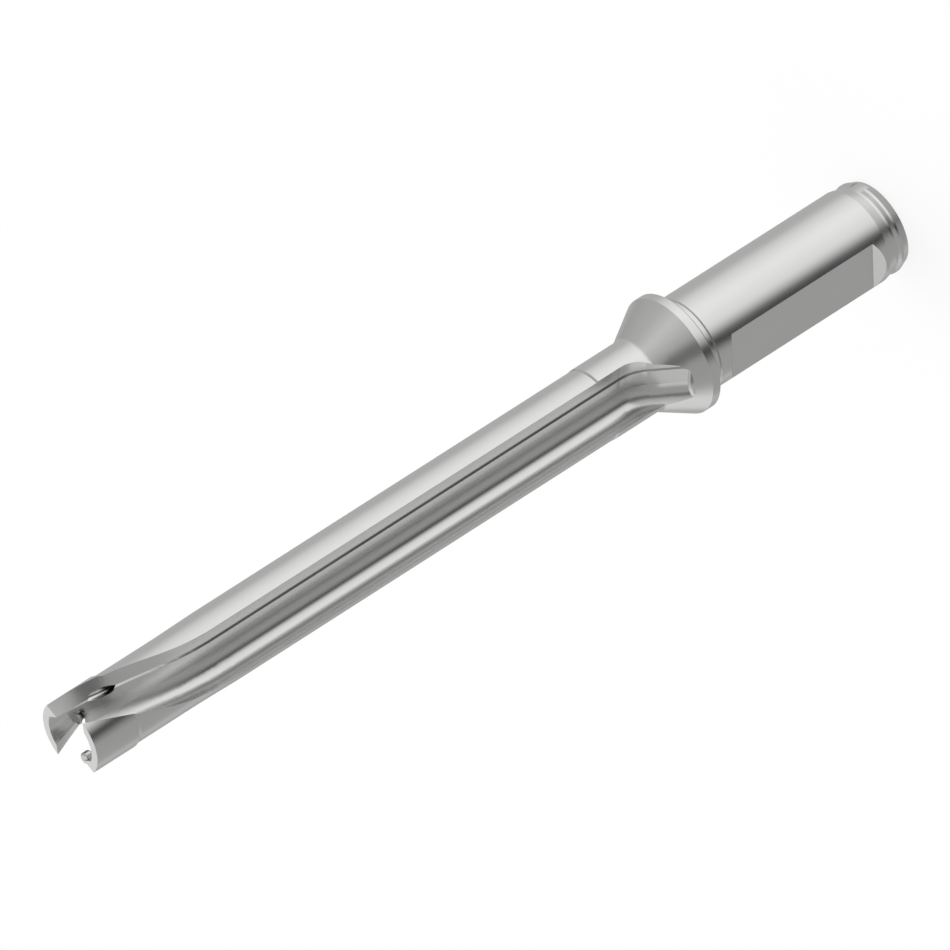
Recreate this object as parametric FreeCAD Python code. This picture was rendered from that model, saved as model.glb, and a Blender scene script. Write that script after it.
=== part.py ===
import FreeCAD, Part

import os
from math import atan2, cos, degrees, hypot, radians, sin, tan

# Body of an indexable drill, without its exchangeable tip. Millimetres.
# The origin is the centre of the shank's rear face. +Z runs along the axis towards the tip and
# +X is the outward normal of the shank's clamping flat. Angles about the axis start at +X.

Vector = FreeCAD.Vector
ORIGIN = Vector(0, 0, 0)
UP = Vector(0, 0, 1)

# Shank
shank_diameter = 20.0
shank_length = 51.0
relief_diameter = 19.5
relief_width = 2.5
relief_ramp = 0.25
shank_rounding = 0.4
flat_depth = 1.8
flat_start = 8.2
flat_length = 36.2
flat_ramp_angle = 45.0

# Where the seam of the turned faces lies, clear of the clamping flat
seam_angle = -67.5

# Ring at the rear end of the shank
ring_diameter = 19.66
ring_end_diameter = 18.3
ring_neck_diameter = 19.06
ring_chamfer_length = 1.7
ring_crest_length = 0.55
ring_flank_length = 0.7
ring_neck_length = 0.5
shank_chamfer_length = 2.0
ring_rounding = 0.2
notch_depth = 0.35
notch_angle = 105.0
notch_width_angle = 20.0

# Flange and cone
flange_diameter = 25.0
flange_width = 2.15
flange_edge = 0.3
flange_rounding = 0.4
cone_angle = 30.3
cone_fillet = 2.0

# Fluted part, from the flange's back face to the tip
reach = 154.3
guide_diameter = 15.6
body_diameter = 15.35
waist_diameter = 15.02
mark_from_cone = 11.85
mark_depth = 0.2
mark_width = 0.5
taper_start = 36.4
taper_length = 10.0
head_length = 10.5
head_step_length = 0.9
head_rounding = 0.5

# Section of one flute; the other is half a turn round
web_thickness = 2.7
flute_corner_radius = 3.1
floor_lean = 6.7
wall_lean = 21.6
strip_lean = 6.5
floor_width = 4.16
ledge_width = 0.36
ledge_depth = 0.29

# Course of the flutes: straight, then a helix towards the tip, and a ramp out at the cone
helix_lead = 137.5
helix_length = 26.9
helix_blend = 16.2
helix_overlap = 4.0
helix_pinch = 6.0
helix_sections = 13
runout_from_cone = 3.1
runout_depth = 8.1
runout_angle = 44.3
runout_turn = 10.0
runout_bend = 3.0
runout_sections = 5
runout_rounding = 0.9

# Pocket for the tip
pocket_diameter = 12.28
pocket_depth = 5.53
pocket_flats = 9.1
pocket_flats_angle = 121.6

# Coolant ways
coolant_bore_diameter = 11.0
coolant_bore_depth = 38.0
coolant_point_angle = 118.0
channel_diameter = 2.0
channel_radius = 4.28
channel_angle = 117.8
channel_end = 15.2
outlet_diameter = 1.8
outlet_radius = 4.7
outlet_angle = 115.0
outlet_from_tip = 9.9
outlet_slant = 10.5
outlet_slant_angle = 284.0
outlet_depth = 7.5
outlet_clear = 4.0

# Stop pin in the inner corner of one lug: a round head on a thin neck, under a lip of the lug
stop_radius = 4.64
stop_angle = -40.7
stop_head_diameter = 2.45
stop_head_length = 1.8
stop_head_rounding = 0.45
stop_neck_diameter = 1.3
stop_sink = 0.25
stop_clearance = 0.05

# Locating pin in the floor of the pocket
pin_radius = 3.28
pin_angle = 181.0
pin_diameter = 2.5
pin_height = 1.1
pin_head_length = 0.4
pin_neck_length = 1.6
pin_neck_diameter = 1.5
pin_depth = 5.0
pin_chamfer = 0.1
pin_hole_diameter = 2.58

# Heights that follow from the sizes above
flange_front = shank_length + flange_width
cone_top = flange_front + (flange_diameter - guide_diameter) / 2 / tan(radians(cone_angle))
mark_height = cone_top + mark_from_cone
tip_height = shank_length + reach
pocket_floor = tip_height - pocket_depth
spare = 1.0


def polar(radius, angle, height=0.0):
    """The point at a radius, an angle about the axis and a height."""
    return Vector(radius * cos(radians(angle)), radius * sin(radians(angle)), height)


def rounded_wire(corners):
    """Closed wire through (point, rounding radius) corners, with an arc at each rounded one."""
    edges = []
    count = len(corners)
    ends = []
    for index in range(count):
        point, radius = corners[index]
        before = corners[index - 1][0]
        after = corners[(index + 1) % count][0]
        back = (before - point).normalize()
        ahead = (after - point).normalize()
        if radius <= 0:
            ends.append((point, None, point))
            continue
        half = back.getAngle(ahead) / 2
        reach_out = radius / tan(half)
        middle = (back + ahead).normalize()
        centre = point + middle * (radius / sin(half))
        ends.append((point + back * reach_out, centre - middle * radius, point + ahead * reach_out))
    for index in range(count):
        first, through, last = ends[index]
        if through is not None:
            edges.append(Part.Arc(first, through, last).toShape())
        following = ends[(index + 1) % count][0]
        edges.append(Part.makeLine(last, following))
    return Part.Wire(edges)


def turned(profile):
    """Solid of revolution about Z from (diameter, height, rounding) rows, closed on the axis."""
    corners = [(Vector(diameter / 2, 0, height), rounding) for diameter, height, rounding in profile]
    corners.append((Vector(0, 0, profile[-1][1]), 0))
    corners.insert(0, (Vector(0, 0, profile[0][1]), 0))
    return Part.Face(rounded_wire(corners)).revolve(ORIGIN, UP, 360)


def blank():
    """The turned shape before the flutes, the pocket and the flat are cut."""
    ring_top = ring_chamfer_length + ring_crest_length
    neck_start = ring_top + ring_flank_length
    neck_end = neck_start + ring_neck_length
    taper_end = tip_height - taper_start + taper_length
    head_start = tip_height - head_length
    profile = [
        (ring_end_diameter, 0, 0),
        (ring_diameter, ring_chamfer_length, ring_rounding),
        (ring_diameter, ring_top, ring_rounding),
        (ring_neck_diameter, neck_start, ring_rounding),
        (ring_neck_diameter, neck_end, ring_rounding),
        (shank_diameter, neck_end + shank_chamfer_length, shank_rounding),
        (shank_diameter, shank_length - relief_width, 0),
        (relief_diameter, shank_length - relief_width + relief_ramp, 0),
        (relief_diameter, shank_length, 0),
        (flange_diameter - 2 * flange_edge, shank_length, 0),
        (flange_diameter, shank_length + flange_edge, 0),
        (flange_diameter, flange_front, flange_rounding),
        (guide_diameter, cone_top, cone_fillet),
        (guide_diameter, mark_height - mark_width / 2, 0),
        (body_diameter - 2 * mark_depth, mark_height, 0),
        (body_diameter, mark_height + mark_width / 2, 0),
        (body_diameter, tip_height - taper_start, 0),
        (waist_diameter, taper_end, 0),
        (waist_diameter, head_start - head_step_length, head_rounding),
        (guide_diameter, head_start, head_rounding),
        (guide_diameter, tip_height, 0),
    ]
    shape = turned(profile)
    shape.rotate(ORIGIN, UP, seam_angle)
    return shape


def flute_section(height, twist, pinch):
    """Face of one flute's section; twist turns it all, pinch brings its lower wall in."""
    turn = radians(floor_lean)
    centre = Vector(web_thickness / 2 + flute_corner_radius, 0, 0)
    arc_start = centre + Vector(-cos(turn), sin(turn), 0) * flute_corner_radius
    floor_end = arc_start + Vector(sin(turn), cos(turn), 0) * (floor_width / cos(turn) - arc_start.y)
    ledge = floor_end + Vector(-ledge_depth, ledge_width, 0)
    lean = radians(strip_lean)
    strip_end = ledge + Vector(sin(lean), cos(lean), 0) * guide_diameter
    wall = radians(wall_lean)
    arc_end = centre + Vector(sin(wall), -cos(wall), 0) * flute_corner_radius
    wall_end = arc_end + Vector(cos(wall), sin(wall), 0) * guide_diameter
    middle = centre + polar(flute_corner_radius, 180 + (90 + wall_lean) / 2)
    far = Vector(wall_end.x, strip_end.y, 0)

    def place(point, more=0.0):
        return polar(hypot(point.x, point.y), degrees(atan2(point.y, point.x)) + twist + more, height)

    upper = [place(point) for point in (arc_start, floor_end, ledge, strip_end, far)]
    lower = [place(point, pinch) for point in (wall_end, arc_end)]
    edges = [Part.makeLine(a, b) for a, b in zip(upper[:-1], upper[1:])]
    edges.append(Part.makeLine(upper[-1], lower[0]))
    edges.append(Part.makeLine(lower[0], lower[1]))
    edges.append(Part.Arc(lower[1], place(middle, pinch / 2), upper[0]).toShape())
    return Part.Face(Part.Wire(edges))


def helix_turn(depth):
    """Turn of the flute, in degrees, and share of the full helix at a depth below the tip."""
    pitch = 360.0 / helix_lead
    blend_start = helix_length - helix_blend / 2
    if depth <= blend_start:
        return pitch * (helix_length - depth), 1.0
    left = helix_length + helix_blend / 2 - depth
    if left <= 0:
        return 0.0, 0.0
    return pitch * left * left / (2 * helix_blend), left / helix_blend


def flute_cutter():
    """One flute as a solid: helical at the tip, straight, and ramped out at the cone."""
    helix_end = helix_length + helix_blend / 2 + helix_overlap
    sections = []
    for index in range(helix_sections):
        depth = -spare + (helix_end + spare) * index / (helix_sections - 1)
        twist, share = helix_turn(depth)
        face = flute_section(tip_height - depth, twist, helix_pinch * share)
        sections.append(face.OuterWire)
    helix = Part.makeLoft(sections, True, False)

    start = tip_height - helix_end
    corner = cone_top + runout_from_cone
    straight = flute_section(start, 0, 0).extrude(UP * (corner + runout_bend - start))

    out = tan(radians(runout_angle)) * runout_depth
    course = polar(out, runout_turn, -runout_depth)
    ahead = Vector(course).normalize()
    bent = []
    for index in range(runout_sections):
        share = index / (runout_sections - 1)
        shift = (UP * (1 - share) ** 2 + ahead * share ** 2) * runout_bend
        bent.append(flute_section(corner, 0, 0).translated(shift).OuterWire)
    bend = Part.makeLoft(bent, True, False)

    ramp = flute_section(corner, 0, 0).translated(ahead * runout_bend)
    ramp = ramp.extrude(course - ahead * runout_bend)
    end = min(ramp.Faces, key=lambda face: face.CenterOfMass.z)
    ramp = ramp.makeFillet(runout_rounding, end.Edges)
    return helix, straight, bend, ramp


def drilled(diameter, start, end):
    """Round hole between two points, with a drill point beyond the second."""
    radius = diameter / 2
    point_length = radius / tan(radians(coolant_point_angle / 2))
    course = end - start
    hole = Part.makeCylinder(radius, course.Length, start, course)
    point = Part.makeCone(radius, 0, point_length, end, course)
    return hole.fuse(point)


def pocket_cutter():
    """Round pocket with two flats, open at the tip."""
    depth = pocket_depth + spare
    radius = pocket_diameter / 2
    cutter = Part.makeCylinder(radius, depth, Vector(0, 0, pocket_floor))
    bar = Part.makeBox(pocket_flats, pocket_diameter, depth)
    bar.translate(Vector(-pocket_flats / 2, -radius, pocket_floor))
    bar.rotate(ORIGIN, UP, pocket_flats_angle)
    return cutter.common(bar)


def flat_cutter():
    """The clamping flat of the shank, with a ramp at each end."""
    floor = shank_diameter / 2 - flat_depth
    rise = flat_depth + spare
    run = rise / tan(radians(flat_ramp_angle))
    low = flat_start
    high = flat_start + flat_length
    points = [
        Vector(floor, 0, low),
        Vector(floor, 0, high),
        Vector(floor + rise, 0, high + run),
        Vector(floor + rise, 0, low - run),
    ]
    wire = Part.makePolygon(points + points[:1])
    face = Part.Face(wire)
    face.translate(Vector(0, -shank_diameter / 2, 0))
    return face.extrude(Vector(0, shank_diameter, 0))


def notch_cutter():
    """Small notch in the rear ring."""
    height = ring_chamfer_length + ring_crest_length + ring_flank_length
    outer = Part.makeCylinder(shank_diameter / 2, height, ORIGIN, UP, notch_width_angle)
    inner = Part.makeCylinder(ring_diameter / 2 - notch_depth, height, ORIGIN, UP, notch_width_angle)
    ring = outer.cut(inner)
    ring.rotate(ORIGIN, UP, notch_angle - notch_width_angle / 2)
    return ring


def coolant_cutters():
    """Inlet bore in the shank, a channel along each land and its slanted outlet in the flute."""
    holes = [drilled(coolant_bore_diameter, ORIGIN - UP * spare, UP * coolant_bore_depth)]
    slant = polar(sin(radians(outlet_slant)), outlet_slant_angle, -cos(radians(outlet_slant)))
    mouth = polar(outlet_radius, outlet_angle, tip_height - outlet_from_tip)
    outlet = drilled(outlet_diameter, mouth - slant * outlet_clear, mouth + slant * outlet_depth)
    low = polar(channel_radius, channel_angle, coolant_bore_depth)
    channel = drilled(channel_diameter, low, low + UP * (tip_height - channel_end - low.z))
    for hole in (channel, outlet):
        other = hole.copy()
        other.rotate(ORIGIN, UP, 180)
        holes += [hole, other]
    return holes


def stop_seat_cutter():
    """Seat of the stop pin: a round groove in the lug's corner, closed by a lip at the top."""
    top = tip_height - stop_sink + stop_clearance
    radius = stop_head_diameter / 2 + stop_clearance
    return Part.makeCylinder(radius, top - pocket_floor, polar(stop_radius, stop_angle, pocket_floor))


def pin_cutter():
    """Hole of the pin in the pocket's floor."""
    low = pocket_floor - pin_depth
    return Part.makeCylinder(pin_hole_diameter / 2, pin_depth + spare, polar(pin_radius, pin_angle, low))


def drill_body():
    """The one-piece holder."""
    body = blank()
    for cutter in flute_cutter():
        other = cutter.copy()
        other.rotate(ORIGIN, UP, 180)
        body = body.cut(cutter).cut(other)
    cutters = [pocket_cutter(), flat_cutter(), notch_cutter(), pin_cutter(), stop_seat_cutter()]
    for cutter in cutters + coolant_cutters():
        body = body.cut(cutter)
    return body


def stop_pin():
    """Round-headed pin that stands on the pocket's floor."""
    top = tip_height - stop_sink
    seat = top - stop_head_length
    profile = [
        (stop_neck_diameter, pocket_floor, 0),
        (stop_neck_diameter, seat, 0),
        (stop_head_diameter, seat, stop_head_rounding),
        (stop_head_diameter, top, stop_head_rounding),
    ]
    pin = turned(profile)
    pin.translate(polar(stop_radius, stop_angle))
    return pin


def locating_pin():
    """Pin with a chamfered head on a thin neck, and a full foot in its hole."""
    low = pocket_floor - pin_depth
    top = pocket_floor + pin_height
    neck_end = top - pin_head_length
    neck_start = neck_end - pin_neck_length
    profile = [
        (pin_diameter, low, 0),
        (pin_diameter, neck_start, 0),
        (pin_neck_diameter, neck_start, 0),
        (pin_neck_diameter, neck_end, 0),
        (pin_diameter, neck_end, 0),
        (pin_diameter, top - pin_chamfer, 0),
        (pin_diameter - 2 * pin_chamfer, top, 0),
    ]
    pin = turned(profile)
    pin.translate(polar(pin_radius, pin_angle))
    return pin


def main():
    os.makedirs("parts", exist_ok=True)
    nodes = {
        "drill_body": drill_body(),
        "stop_pin": stop_pin(),
        "locating_pin": locating_pin(),
    }
    for name, shape in nodes.items():
        shape.exportStep(f"parts/{name}.step")
        print(name, len(shape.Solids), shape.isValid(), round(shape.Volume, 2))


main()
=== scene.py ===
from math import cos, radians, sin

import bpy
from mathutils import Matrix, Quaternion, Vector

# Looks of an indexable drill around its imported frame: satin nickel on the holder, bare steel on
# the two small pins. Metres and degrees. Azimuths go round the drill's axis from the camera's own,
# which is counted from +X.

# Camera, as in the photograph: it looks down on the standing drill and lies rolled over
camera_azimuth = 51.6
camera_elevation = 27.8
camera_roll = -122.58
camera_distance = 8.0164
camera_aim = Vector((-0.00066, 0.00052, 0.1022))
camera_lens = 1600.0
camera_sensor = 36.0
camera_range = 30.0

# Floor, its glow being how much of its white the camera sees as light of its own
floor_size = 6.0
floor_gap = 0.0002
floor_white = 0.95
floor_glow = 0.85

# Light
world_white = 1.0
world_light = 0.75
sun_strength = 1.15
sun_spread = 50.0
sun_azimuth = 140.0
sun_elevation = 58.0

# Reflector drum round the drill, seen in reflections alone
drum_radius = 0.7
drum_bottom = -4.0
drum_top = 1.6
drum_segments = 96
drum_light = 1.26

# Brightness round the drum, by azimuth. The foot shows in what faces the shank's end, the lower
# course in the upright walls, the upper one in the cone and the crown in the ramps and end faces.
drum_foot = [
    (-180, 0.40),
    (-60, 0.30),
    (-30, 0.12),
    (0, 0.34),
    (60, 0.42),
    (180, 0.40),
]
drum_lower = [
    (-180, 0.40),
    (-172, 0.54),
    (-164, 0.38),
    (-152, 0.35),
    (-130, 0.52),
    (-112, 0.37),
    (-52, 0.37),
    (-40, 0.16),
    (-30, 0.02),
    (-22, 0.02),
    (-6, 0.55),
    (6, 0.84),
    (48, 0.98),
    (62, 0.94),
    (92, 0.74),
    (112, 0.49),
    (180, 0.40),
]
drum_upper = [
    (-180, 0.60),
    (-150, 0.72),
    (-112, 0.78),
    (-88, 0.40),
    (-34, 0.36),
    (-26, 0.14),
    (-8, 0.14),
    (6, 0.43),
    (52, 0.66),
    (84, 0.48),
    (120, 0.43),
    (150, 0.34),
    (180, 0.60),
]
drum_crown = [
    (-180, 0.80),
    (-150, 0.56),
    (-118, 0.38),
    (-104, 0.76),
    (-88, 0.34),
    (-34, 0.36),
    (-26, 0.14),
    (-8, 0.14),
    (6, 0.42),
    (52, 0.64),
    (84, 0.46),
    (150, 0.46),
    (180, 0.80),
]
# The heights between which each course above the foot takes over from the one under it
drum_courses = [
    (-1.1, -0.8, drum_lower),
    (-0.12, 0.04, drum_upper),
    (0.29, 0.38, drum_crown),
]

# Finishes: how far colour and gloss wander, and how fine and how deep the grain is
colour_spread = 0.06
gloss_spread = 0.15
cloud_scale = 60.0
cloud_detail = 3.0
grain_detail = 2.0
grain_depth = 2e-6

# Satin nickel, and the bottom of the flutes, where it is milled and duller up to a fade in radius
nickel_colour = (0.66, 0.66, 0.652)
nickel_roughness = 0.24
nickel_grain = (900, 900, 900)
milled_roughness = 0.50
milled_radius = 0.0017
milled_fade_radius = 0.0030

# Bare steel of the pins, polished on one and ground on the other
steel_colour = (0.57, 0.57, 0.563)
polished_roughness = 0.22
polished_grain = (1500, 1500, 400)
ground_roughness = 0.26
ground_grain = (2500, 2500, 300)


def around(azimuth, elevation=0.0, radius=1.0):
    """The point at an azimuth from the camera's, an elevation and a distance from the origin."""
    turn = radians(azimuth + camera_azimuth)
    rise = radians(elevation)
    return Vector((cos(turn) * cos(rise), sin(turn) * cos(rise), sin(rise))) * radius


def add_object(name, data):
    made = bpy.data.objects.new(name, data)
    bpy.context.scene.collection.objects.link(made)
    return made


def add_mesh(name, points, faces, material):
    mesh = bpy.data.meshes.new(name)
    mesh.from_pydata(points, [], faces)
    mesh.materials.append(material)
    return add_object(name, mesh)


def new_material(name):
    """An empty node material, with its node tree and its output node."""
    material = bpy.data.materials.new(name)
    material.use_nodes = True
    tree = material.node_tree
    tree.nodes.clear()
    return material, tree, tree.nodes.new("ShaderNodeOutputMaterial")


def noise(tree, place, scale, detail):
    """A value that wanders from place to place."""
    clouds = tree.nodes.new("ShaderNodeTexNoise")
    clouds.inputs["Scale"].default_value = scale
    clouds.inputs["Detail"].default_value = detail
    tree.links.new(place, clouds.inputs["Vector"])
    return clouds.outputs["Fac"]


def stretched(tree, value, low, high, start=0.0, end=1.0, kind="LINEAR"):
    """A value that goes from low to high while the given one goes from start to end."""
    span = tree.nodes.new("ShaderNodeMapRange")
    span.interpolation_type = kind
    span.inputs["From Min"].default_value = start
    span.inputs["From Max"].default_value = end
    span.inputs["To Min"].default_value = low
    span.inputs["To Max"].default_value = high
    tree.links.new(value, span.inputs["Value"])
    return span.outputs["Result"]


def combined(tree, operation, first, second):
    """Two values taken together by an operation such as MULTIPLY."""
    made = tree.nodes.new("ShaderNodeMath")
    made.operation = operation
    tree.links.new(first, made.inputs[0])
    tree.links.new(second, made.inputs[1])
    return made.outputs["Value"]


def axis_distance(tree, place):
    """How far a place lies from the drill's axis."""
    level = tree.nodes.new("ShaderNodeVectorMath")
    level.operation = "MULTIPLY"
    level.inputs[1].default_value = (1, 1, 0)
    tree.links.new(place, level.inputs[0])
    distance = tree.nodes.new("ShaderNodeVectorMath")
    distance.operation = "LENGTH"
    tree.links.new(level.outputs["Vector"], distance.inputs[0])
    return distance.outputs["Value"]


def duller_near_axis(tree, place, roughness, milled):
    """What the roughness is multiplied by, so that it is the milled one near the axis."""
    radius = axis_distance(tree, place)
    return stretched(tree, radius, milled / roughness, 1.0, milled_radius, milled_fade_radius)


def fine_grain(tree, place, scale):
    """Normals of a surface with a grain, its scale given along each axis."""
    mapping = tree.nodes.new("ShaderNodeMapping")
    mapping.inputs["Scale"].default_value = scale
    tree.links.new(place, mapping.inputs["Vector"])
    bump = tree.nodes.new("ShaderNodeBump")
    bump.inputs["Strength"].default_value = 1.0
    bump.inputs["Distance"].default_value = grain_depth
    height = noise(tree, mapping.outputs["Vector"], 1.0, grain_detail)
    tree.links.new(height, bump.inputs["Height"])
    return bump.outputs["Normal"]


def metal(name, colour, roughness, grain, milled=None):
    """Metal with a fine grain, and colour and gloss that vary a little from place to place.

    Milled is the roughness near the axis, where it differs from the rest.
    """
    material, tree, output = new_material(name)
    shader = tree.nodes.new("ShaderNodeBsdfPrincipled")
    shader.inputs["Metallic"].default_value = 1.0
    tree.links.new(shader.outputs["BSDF"], output.inputs["Surface"])

    place = tree.nodes.new("ShaderNodeTexCoord").outputs["Object"]
    clouds = noise(tree, place, cloud_scale, cloud_detail)
    shade = tree.nodes.new("ShaderNodeMix")
    shade.data_type = "RGBA"
    shade.inputs["A"].default_value = [c * (1 - colour_spread) for c in colour] + [1]
    shade.inputs["B"].default_value = list(colour) + [1]
    tree.links.new(clouds, shade.inputs["Factor"])
    tree.links.new(shade.outputs["Result"], shader.inputs["Base Color"])

    gloss = stretched(tree, clouds, roughness * (1 - gloss_spread), roughness * (1 + gloss_spread))
    if milled is not None:
        duller = duller_near_axis(tree, place, roughness, milled)
        gloss = combined(tree, "MULTIPLY", gloss, duller)
    tree.links.new(gloss, shader.inputs["Roughness"])
    tree.links.new(fine_grain(tree, place, grain), shader.inputs["Normal"])
    return material


def course_colour(tree, azimuth, course):
    """Colour round the drum, by the brightness that the course gives for each azimuth."""
    ramp = tree.nodes.new("ShaderNodeValToRGB")
    stops = ramp.color_ramp.elements
    while len(stops) < len(course):
        stops.new(1.0)
    for stop, (turn, brightness) in zip(stops, course):
        stop.position = turn / 360 + 0.5
        stop.color = (brightness, brightness, brightness, 1)
    tree.links.new(azimuth, ramp.inputs["Fac"])
    return ramp.outputs["Color"]


def drum_material():
    """Light that changes smoothly round the drum and from course to course up its height."""
    material, tree, output = new_material("drum")
    place = tree.nodes.new("ShaderNodeTexCoord").outputs["Object"]
    turned = tree.nodes.new("ShaderNodeMapping")
    turned.vector_type = "TEXTURE"
    turned.inputs["Rotation"].default_value = (0, 0, radians(camera_azimuth))
    tree.links.new(place, turned.inputs["Vector"])
    gradient = tree.nodes.new("ShaderNodeTexGradient")
    gradient.gradient_type = "RADIAL"
    tree.links.new(turned.outputs["Vector"], gradient.inputs["Vector"])
    azimuth = gradient.outputs["Fac"]
    split = tree.nodes.new("ShaderNodeSeparateXYZ")
    tree.links.new(place, split.inputs["Vector"])

    colour = course_colour(tree, azimuth, drum_foot)
    for low, high, course in drum_courses:
        both = tree.nodes.new("ShaderNodeMix")
        both.data_type = "RGBA"
        share = stretched(tree, split.outputs["Z"], 0.0, 1.0, low, high, "SMOOTHSTEP")
        tree.links.new(share, both.inputs["Factor"])
        tree.links.new(colour, both.inputs["A"])
        tree.links.new(course_colour(tree, azimuth, course), both.inputs["B"])
        colour = both.outputs["Result"]
    light = tree.nodes.new("ShaderNodeEmission")
    light.inputs["Strength"].default_value = drum_light
    tree.links.new(colour, light.inputs["Color"])
    tree.links.new(light.outputs["Emission"], output.inputs["Surface"])
    material.cycles.emission_sampling = "NONE"
    return material


def floor_material():
    """Pale floor that the camera sees as white, apart from the shadows on it."""
    material, tree, output = new_material("floor")
    matt = tree.nodes.new("ShaderNodeBsdfDiffuse")
    matt.inputs["Color"].default_value = (floor_white, floor_white, floor_white, 1)
    white = tree.nodes.new("ShaderNodeEmission")
    white.inputs["Color"].default_value = (1, 1, 1, 1)
    white.inputs["Strength"].default_value = 1.0
    path = tree.nodes.new("ShaderNodeLightPath")
    mix = tree.nodes.new("ShaderNodeMixShader")
    share = stretched(tree, path.outputs["Is Camera Ray"], 0.0, floor_glow)
    tree.links.new(share, mix.inputs["Fac"])
    tree.links.new(matt.outputs["BSDF"], mix.inputs[1])
    tree.links.new(white.outputs["Emission"], mix.inputs[2])
    tree.links.new(mix.outputs["Shader"], output.inputs["Surface"])
    material.cycles.emission_sampling = "NONE"
    return material


def make_floor():
    half = floor_size / 2
    corners = [(-half, -half), (half, -half), (half, half), (-half, half)]
    points = [(x, y, -floor_gap) for x, y in corners]
    floor = add_mesh("floor", points, [(0, 1, 2, 3)], floor_material())
    floor.visible_glossy = False


def make_drum():
    """Upright open drum round the drill, which the camera doesn't see."""
    points = []
    for step in range(drum_segments):
        foot = around(360 * step / drum_segments, radius=drum_radius)
        points.append((foot.x, foot.y, drum_bottom))
        points.append((foot.x, foot.y, drum_top))
    count = len(points)
    faces = [(i, (i + 2) % count, (i + 3) % count, i + 1) for i in range(0, count, 2)]
    drum = add_mesh("drum", points, faces, drum_material())
    drum.visible_camera = False
    drum.visible_diffuse = False
    drum.visible_transmission = False
    drum.visible_shadow = False


def make_world():
    """White all round, a little weaker as a light than it looks."""
    world = bpy.data.worlds.new("studio")
    bpy.context.scene.world = world
    world.use_nodes = True
    tree = world.node_tree
    tree.nodes.clear()
    output = tree.nodes.new("ShaderNodeOutputWorld")
    background = tree.nodes.new("ShaderNodeBackground")
    background.inputs["Color"].default_value = (1, 1, 1, 1)
    path = tree.nodes.new("ShaderNodeLightPath")
    seen = path.outputs["Is Camera Ray"]
    for ray in ("Is Glossy Ray", "Is Transmission Ray"):
        seen = combined(tree, "MAXIMUM", seen, path.outputs[ray])
    strength = stretched(tree, seen, world_light, world_white)
    tree.links.new(strength, background.inputs["Strength"])
    tree.links.new(background.outputs["Background"], output.inputs["Surface"])


def make_sun():
    light = bpy.data.lights.new("sun", "SUN")
    light.energy = sun_strength
    light.angle = radians(sun_spread)
    sun = add_object("sun", light)
    sun.rotation_mode = "QUATERNION"
    sun.rotation_quaternion = around(sun_azimuth, sun_elevation).to_track_quat("Z", "Y")
    sun.visible_glossy = False


def make_camera():
    data = bpy.data.cameras.new("camera")
    data.lens = camera_lens
    data.sensor_width = camera_sensor
    data.clip_end = camera_range
    camera = add_object("camera", data)
    back = around(0, camera_elevation)
    camera.location = camera_aim + back * camera_distance
    roll = Quaternion((0, 0, 1), radians(camera_roll))
    camera.rotation_mode = "QUATERNION"
    camera.rotation_quaternion = back.to_track_quat("Z", "Y") @ roll
    bpy.context.scene.camera = camera


def dress(node, material):
    """The node takes this material in place of its own."""
    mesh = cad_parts[node].data
    mesh.materials.clear()
    mesh.materials.append(material)


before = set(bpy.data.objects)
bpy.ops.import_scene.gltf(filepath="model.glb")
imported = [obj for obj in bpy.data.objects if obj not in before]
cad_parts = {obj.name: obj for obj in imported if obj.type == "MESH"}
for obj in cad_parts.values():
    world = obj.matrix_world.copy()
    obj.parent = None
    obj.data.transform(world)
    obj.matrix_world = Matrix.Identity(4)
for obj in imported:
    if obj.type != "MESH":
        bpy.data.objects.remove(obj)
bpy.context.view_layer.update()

nickel = metal("satin_nickel", nickel_colour, nickel_roughness, nickel_grain, milled_roughness)
dress("drill_body", nickel)
dress("stop_pin", metal("pin_steel", steel_colour, polished_roughness, polished_grain))
dress("locating_pin", metal("ground_pin_steel", steel_colour, ground_roughness, ground_grain))

make_floor()
make_drum()
make_world()
make_sun()
make_camera()
bpy.context.scene.view_settings.view_transform = "Standard"
